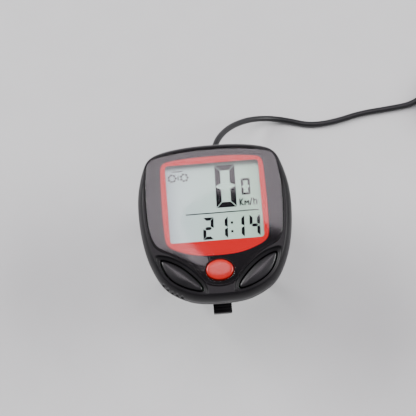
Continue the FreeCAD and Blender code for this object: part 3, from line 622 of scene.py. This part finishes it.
@dataclass
class Studio:
    """Camera, pale floor and soft lights."""

    elevation: float = 75.0
    distance: float = 540.0
    roll: float = 4.6
    lens_mm: float = 149.92
    aim_right: float = -2.494
    aim_up: float = 4.676
    target: tuple[float, float, float] = (0.0, 0.0, 30.0)

    # Where the card shows in the face plate, in millimetres on the plate.
    CARD = [(4.5, 9.5), (10.0, 8.0), (12.0, 0.0), (17.0, -4.4), (28.0, -6.0), (30.0, -30.0),
            (-30.0, -30.0), (-30.0, -8.0), (-14.3, -8.5), (-5.7, -14.6), (-2.5, -14.5),
            (-3.4, -12.2), (-10.6, -5.6), (-11.0, 3.5), (-3.0, 8.5)]

    def camera(self) -> None:
        """Set the camera above and behind the head, looking down at the display."""
        tilt = math.radians(self.elevation)
        level = Vector((1, 0, 0))
        upward = Vector((0, math.sin(tilt), math.cos(tilt)))
        turn = math.radians(self.roll)
        right = level * math.cos(turn) - upward * math.sin(turn)
        up = level * math.sin(turn) + upward * math.cos(turn)
        back = right.cross(up)
        aim = Vector(self.target) + right * self.aim_right + up * self.aim_up
        lens = bpy.data.cameras.new("camera")
        lens.sensor_width = 36.0
        lens.lens = self.lens_mm
        lens.clip_start = 0.01
        view = bpy.data.objects.new("camera", lens)
        basis = Matrix((right, up, back)).transposed().to_4x4()
        view.matrix_world = Matrix.Translation((aim + back * self.distance) * MM) @ basis
        bpy.context.scene.collection.objects.link(view)
        bpy.context.scene.camera = view

    def card(self) -> None:
        """Black card that takes the shine off the lower middle of the face plate."""
        eye = bpy.context.scene.camera.matrix_world.translation / MM
        height = 900.0
        reach = height / (eye.z - LENS_TOP_Z)
        ring = [Vector((x + (x - eye.x) * reach, y + (y - eye.y) * reach, LENS_TOP_Z + height))
                for x, y in smooth(self.CARD)]
        flag = Skin("studio_card", ring).cap().done()
        look, tree, at = blank("black flock")
        nap = add(tree, "TexNoise", {"Vector": at, "Scale": 400.0})
        tone = add(tree, "MapRange", {"Value": nap.outputs["Fac"], "To Min": 0.004,
                                      "To Max": 0.012})
        finish_with(tree, add(tree, "BsdfDiffuse", {"Color": tone.outputs["Result"]}))
        flag.data.materials.append(look)
        flag.visible_camera = False

    def floor(self) -> None:
        """Lay the pale surface that the lead rests on."""
        deselect()
        bpy.ops.mesh.primitive_plane_add(size=6.0, location=(0, 0, FLOOR_Z * MM))
        plane = bpy.context.object
        plane.name = "studio_floor"
        look, tree, at = blank("pale paper")
        weave = add(tree, "TexNoise", {"Vector": at, "Scale": 90.0, "Detail": 4.0})
        tone = add(tree, "MapRange", {"Value": weave.outputs["Fac"], "To Min": 0.66,
                                      "To Max": 0.70})
        shader = add(tree, "BsdfPrincipled", {"Base Color": tone.outputs["Result"],
                                              "Roughness": 0.9})
        finish_with(tree, shader)
        plane.data.materials.append(look)

    def softbox(self, name: str, spot: Vector, towards: Vector, size: float, power: float,
                colour: tuple[float, float, float] = (1.0, 1.0, 1.0)) -> None:
        """Hang one area lamp.

        Args:
            name: name of the lamp.
            spot: place in metres.
            towards: point that it faces.
            size: width in metres.
            power: radiant power in watts.
            colour: linear colour of its light.
        """
        lamp = bpy.data.lights.new(name, "AREA")
        lamp.shape = "SQUARE"
        lamp.size = size
        lamp.energy = power
        lamp.color = colour
        holder = bpy.data.objects.new(name, lamp)
        holder.location = spot
        holder.rotation_euler = (towards - spot).to_track_quat("-Z", "Y").to_euler()
        bpy.context.scene.collection.objects.link(holder)

    def light(self) -> None:
        """Even, slightly cool daylight with one broad sky panel ahead of the object."""
        world = bpy.data.worlds.new("daylight")
        world.use_nodes = True
        tree = world.node_tree
        tree.nodes.clear()
        sky = add(tree, "Background", {"Color": linear("#ECEBF2"), "Strength": 0.42})
        add(tree, "OutputWorld", {"Surface": sky.outputs[0]})
        bpy.context.scene.world = world
        centre = Vector((0, 0, 0.03))
        self.softbox("sky panel", Vector((0.0, 0.40, 1.3)), centre, 0.62, 6.2,
                     (1.0, 0.9, 0.98))
        self.softbox("left window", Vector((-0.9, 0.5, 0.7)), centre, 0.7, 17.0)
        self.softbox("right fill", Vector((0.9, 0.1, 0.6)), centre, 0.6, 10.0)
        self.card()


# ------------------------------------------------------------------ lead
@dataclass
class Lead:
    """Thin two-core lead from the bracket to the wheel sensor, with its unused length coiled."""

    length_mm: float = 640.0
    coil_at: Point = (91.0, 47.0)
    coil_r: float = 11.0
    pitch: float = 2.05
    steps: int = 16

    # The route out of the bracket, down to the surface and along it.
    RUN = [(0.5, 18.6, 12.4), (0.5, 26.0, 12.4), (2.2, 33.4, 8.2), (6.4, 39.6, 1.4),
           (12.6, 44.0, -5.2), (19.6, 46.0, -10.6), (27.2, 45.2, -12.7), (34.6, 42.7, -12.7),
           (43.0, 43.2, -12.7), (52.5, 45.6, -12.7), (62.5, 46.4, -12.7), (72.2, 47.6, -12.7)]
    TAIL = [(97.5, 60.4, -11.0), (103.2, 60.3, -11.4), (108.7, 60.0, -11.4),
            (114.0, 54.7, -10.5), (114.0, 48.8, -10.5)]
    # Column and layer of each turn, each beside or on the one before.
    TURNS = [(1, 0), (0, 0), (-1, 0), (-1, 1), (0, 1), (0, 2), (1, 2), (1, 1)]

    def turns(self) -> list[tuple[float, float, float]]:
        """Points of the put-away turns, clockwise from where the run comes in."""
        x, y = self.coil_at
        low = FLOOR_Z + CORD_D / 2
        points = []
        total = (len(self.TURNS) - 1) * self.steps + self.steps // 8
        for k in range(total + 1):
            step = k / self.steps
            now = min(int(step), len(self.TURNS) - 1)
            later = min(now + 1, len(self.TURNS) - 1)
            blend = min(max((step - now - 0.45) / 0.27, 0.0), 1.0) if later > now else 0.0
            column = self.TURNS[now][0] * (1 - blend) + self.TURNS[later][0] * blend
            layer = self.TURNS[now][1] * (1 - blend) + self.TURNS[later][1] * blend
            swell = 1 / math.cos(math.pi / self.steps)
            radius = (self.coil_r + self.pitch * column) * swell
            angle = math.radians(135) - math.tau * step
            points.append((x + radius * math.cos(angle), y + radius * math.sin(angle),
                           low + self.pitch * layer))
        return points

    def build(self, looks: Looks) -> None:
        points = self.RUN + self.turns() + self.TAIL
        line = bpy.data.curves.new("lead", "CURVE")
        line.dimensions = "3D"
        spline = line.splines.new("NURBS")
        spline.points.add(len(points) - 1)
        for point, spot in zip(spline.points, points):
            point.co = (*(c * MM for c in spot), 1.0)
        spline.order_u = 3
        spline.use_endpoint_u = True
        line.resolution_u = 6
        line.bevel_depth = CORD_D / 2 * MM
        line.bevel_resolution = 5
        line.use_fill_caps = True
        piece = bpy.data.objects.new("lead", line)
        bpy.context.scene.collection.objects.link(piece)
        place(piece, "bracket", "sheath_black", looks.sheath, "lead_run", "lead_coil",
              "lead_tail")


# ------------------------------------------------------------------ head
@dataclass
class FrontShell:
    """Upper shell: rounded shoulder, flat rim, pocket for the plate and openings for the keys."""

    count: int = 224
    centre: Point = (0.0, 1.0)
    wall: float = 1.7

    SHOULDER = [(0.3, 29.2), (0.14, 29.35), (0.04, 29.9), (0.0, 30.5), (0.05, 31.1),
                (0.18, 31.8), (0.38, 32.5), (0.66, 33.15), (0.96, 33.7), (1.25, 34.1),
                (1.52, 34.38), (1.78, 34.54), (1.98, 34.6), (2.06, 34.6)]
    GRIPS = [(-17.75, -18.95), (-16.6, -20.3), (-15.25, -21.45), (-13.8, -22.35), (-12.3, -23.1)]
    LIP = [(-0.5, 34.6), (-0.42, 34.6), (-0.28, 34.57), (-0.18, 34.47), (-0.15, 34.3), (-0.15, 33.4)]

    def leaf_cutter(self, side: Side) -> bpy.types.Object:
        """Solid that cuts the hollow round one side key, with a rolled upper edge."""
        leaf = LEAF if side is Side.RIGHT else flipped(LEAF)
        centre = (12.0 * side.value, -17.0)
        levels = [(0.0, 31.0), (0.0, 33.62), (-0.06, 33.78), (-0.2, 33.88), (-0.5, 33.96),
                  (-0.85, 34.06), (-1.0, 34.16), (-1.07, 34.3), (-1.13, 34.44), (-1.24, 34.54),
                  (-1.4, 34.59), (-1.45, 34.9)]
        rings = [around(smooth(inset(leaf, depth)), z, centre, 120) for depth, z in levels]
        return solid("leaf_cutter", rings)

    def build(self, looks: Looks) -> None:
        """Model the shell and set it on the head."""
        case, lens = mirrored(CASE_HALF), mirrored(LENS_HALF)

        def level(points: Sequence[Point], depth: float, z: float) -> Ring:
            return around(smooth(inset(points, depth)), z, self.centre, self.count)

        window = rounded_rectangle(-15.2, 15.2, -7.0, 19.2, 1.5)
        rings = [level(case, self.wall, PARTING_Z)]
        rings += [level(case, depth, z) for depth, z in self.SHOULDER]
        rings += [level(lens, depth, z) for depth, z in self.LIP]
        rings += [around(window, z, self.centre, self.count) for z in (POCKET_Z, DECK_UNDER_Z)]
        rings += [level(case, self.wall, DECK_UNDER_Z)]
        shell = Skin("front_shell", rings[0]).grow(*rings[1:]).join_ends().done()
        a, b = KEY_HALF
        hole = [ellipse(a + 0.25, b + 0.25, z, KEY_PLACE, 96) for z in (31.0, 36.0)]
        carve(shell, solid("key_cutter", hole))
        for side in Side:
            carve(shell, self.leaf_cutter(side))
        for x, y in self.GRIPS:
            groove = [ellipse(0.5, 0.5, z, (x, y), 24) for z in (29.0, 33.0)]
            carve(shell, solid("groove_cutter", groove))
        place(shell, "head", "case_black", looks.case, "front_case")


@dataclass
class FacePlate:
    """Clear plate over the printed face, with its edge polished round."""

    count: int = 224
    centre: Point = (0.0, 1.0)
    edge: float = 0.35
    # Small enough that the flat top mirrors like a flat sheet.
    flat_angle: float = 4.0

    def build(self, looks: Looks) -> None:
        """Model the plate and set it in the pocket."""
        lens = mirrored(LENS_HALF)
        low = POCKET_Z + 0.13
        levels = [(0.0, low), (0.0, LENS_TOP_Z - self.edge)]
        levels += [(self.edge * (1 - math.cos(math.radians(a))),
                    LENS_TOP_Z - self.edge * (1 - math.sin(math.radians(a))))
                   for a in (20, 40, 60, 75, 90)]
        rings = [around(smooth(inset(lens, depth)), z, self.centre, self.count)
                 for depth, z in levels]
        plate = solid("face_plate", rings)
        a, b = KEY_HALF
        roll = 0.3
        bore = [ellipse(a + 0.3, b + 0.3, z, KEY_PLACE, 96) for z in (30.0, LENS_TOP_Z - roll)]
        bore += [ellipse(a + 0.3 + roll * (1 - math.cos(math.radians(t))),
                         b + 0.3 + roll * (1 - math.cos(math.radians(t))),
                         LENS_TOP_Z - roll + roll * math.sin(math.radians(t)), KEY_PLACE, 96)
                 for t in (20, 40, 60, 75, 88)]
        bore.append(ellipse(a + 0.3 + roll, b + 0.3 + roll, 36.0, KEY_PLACE, 96))
        carve(plate, solid("bore_cutter", bore), self.flat_angle)
        place(plate, "head", "face_clear", looks.lens, "lens")


@dataclass
class Keys:
    """Oval centre key and the two leaf-shaped side keys."""

    count: int = 120

    def centre_key(self, looks: Looks) -> None:
        """Domed oval key that stands a little above the plate."""
        a, b = KEY_HALF
        rings = [ellipse(a, b, z, KEY_PLACE, self.count) for z in (32.0, 34.75)]
        for depth, z in ((0.03, 34.92), (0.12, 35.06), (0.28, 35.17), (0.5, 35.25)):
            rings.append(ellipse(a - depth, b - depth, z, KEY_PLACE, self.count))
        for share, z in ((0.75, 35.34), (0.5, 35.4), (0.25, 35.44), (0.08, 35.45)):
            rings.append(ellipse(a * share, b * share, z, KEY_PLACE, self.count))
        key = solid("centre_button", rings, 50.0)
        place(key, "centre_button", "key_red", looks.key_red, "centre_key")

    def side_key(self, side: Side, looks: Looks) -> None:
        """Leaf with a soft crest, sunk in its hollow."""
        leaf = LEAF if side is Side.RIGHT else flipped(LEAF)
        centre = (12.0 * side.value, -17.0)
        levels = [(0.3, 32.0), (0.3, 33.5), (0.33, 33.68), (0.42, 33.83), (0.56, 33.95),
                  (0.74, 34.04)]
        rings = [around(smooth(inset(leaf, depth)), z, centre, self.count)
                 for depth, z in levels]
        last = rings[-1]
        rings += [shrunk(last, share, z) for share, z in (
            (0.84, 34.16), (0.68, 34.27), (0.52, 34.36), (0.36, 34.43), (0.2, 34.47),
            (0.06, 34.49))]
        name = "left" if side is Side.LEFT else "right"
        key = solid(f"{name}_leaf_key", rings, 50.0)
        place(key, f"{name}_button", "key_black", looks.key_black, f"{name}_key")

    def build(self, looks: Looks) -> None:
        """Model all three keys."""
        self.centre_key(looks)
        for side in Side:
            self.side_key(side, looks)


class HeadCore:
    """What shows through the plate, and what the shells hold."""

    DRESS = {"lens_black_print": "black_ink", "lens_red_print": "red_ink",
             "display_segments": "segment_ink",
             "display_rear_glass": "film", "display_reflector": "film",
             "display_holder": "white", "zebra_strip": "grey_rubber", "circuit_board": "board",
             "processor": "resin", "crystal": "steel", "board_components": "ceramic",
             "key_domes": "steel", "key_rubbers": "grey_rubber", "battery": "steel",
             "battery_top_contact": "brass", "battery_cover_contact": "brass",
             "battery_cover_seal": "rubber", "contact_springs": "brass",
             "case_gasket": "rubber", "case_screws": "steel", "rear_contacts": "brass",
             "latch_spring": "steel", "pin_springs": "brass", "reed_switch": "glass",
             "contact_pin_left": "brass", "contact_pin_right": "brass", "coil_tie": "nylon",
             "strain_relief": "rubber", "sensor_strain_relief": "rubber"}

    def build(self, looks: Looks) -> None:
        """Lay the upper glass over the digits and dress the CAD nodes whose shape stays."""
        sheet = rounded_rectangle(-15.9, 15.9, -9.6, 19.7, 0.2)
        cell = solid("cell_front_glass", [around(sheet, z, (0.0, 5.0), 240) for z in (31.24, 31.9)])
        place(cell, "head", "display_glass", looks.glass, "display_front_glass")
        for node, look in self.DRESS.items():
            mesh = bpy.data.objects[node].data
            mesh.materials.clear()
            mesh.materials.append(getattr(looks, look))


class Housings:
    """Moulded parts whose CAD shape stays, with their edges broken."""

    PARTS = [("rear_case", "rear_shell", "head", "case_rear", "rear", 0.15),
             ("battery_cover", "battery_lid", "cover", "case_rear", "rear", 0.12),
             ("bracket_base", "bracket", "bracket", "case_rear", "rear", 0.15),
             ("bracket_pad", "bar_pad", "bracket", "rubber_black", "rubber", 0.15),
             ("release_latch", "latch_tongue", "latch", "case_rear", "case", 0.12),
             ("cable_tie_left", "left_tie", "bracket", "nylon_black", "nylon", 0.08),
             ("cable_tie_right", "right_tie", "bracket", "nylon_black", "nylon", 0.08)]

    def build(self, looks: Looks) -> None:
        """Copy, soften and dress each part."""
        for node, name, body, slot, look, edge in self.PARTS:
            softened(node, name, body, slot, getattr(looks, look), edge)
        for node, look in (("sensor_housing", "case"), ("sensor_base", "rear"),
                           ("sensor_pad", "rubber")):
            mesh = bpy.data.objects[node].data
            mesh.materials.clear()
            mesh.materials.append(getattr(looks, look))


def main() -> None:
    """Build the studio, then every sub-assembly."""
    logging.basicConfig(level=logging.INFO, format="%(message)s")
    studio = Studio()
    studio.camera()
    looks = Looks()
    Lead().build(looks)
    for part in (FrontShell(), FacePlate(), Keys(), HeadCore(), Housings()):
        part.build(looks)
    studio.floor()
    studio.light()


if __name__ == "__main__":
    main()
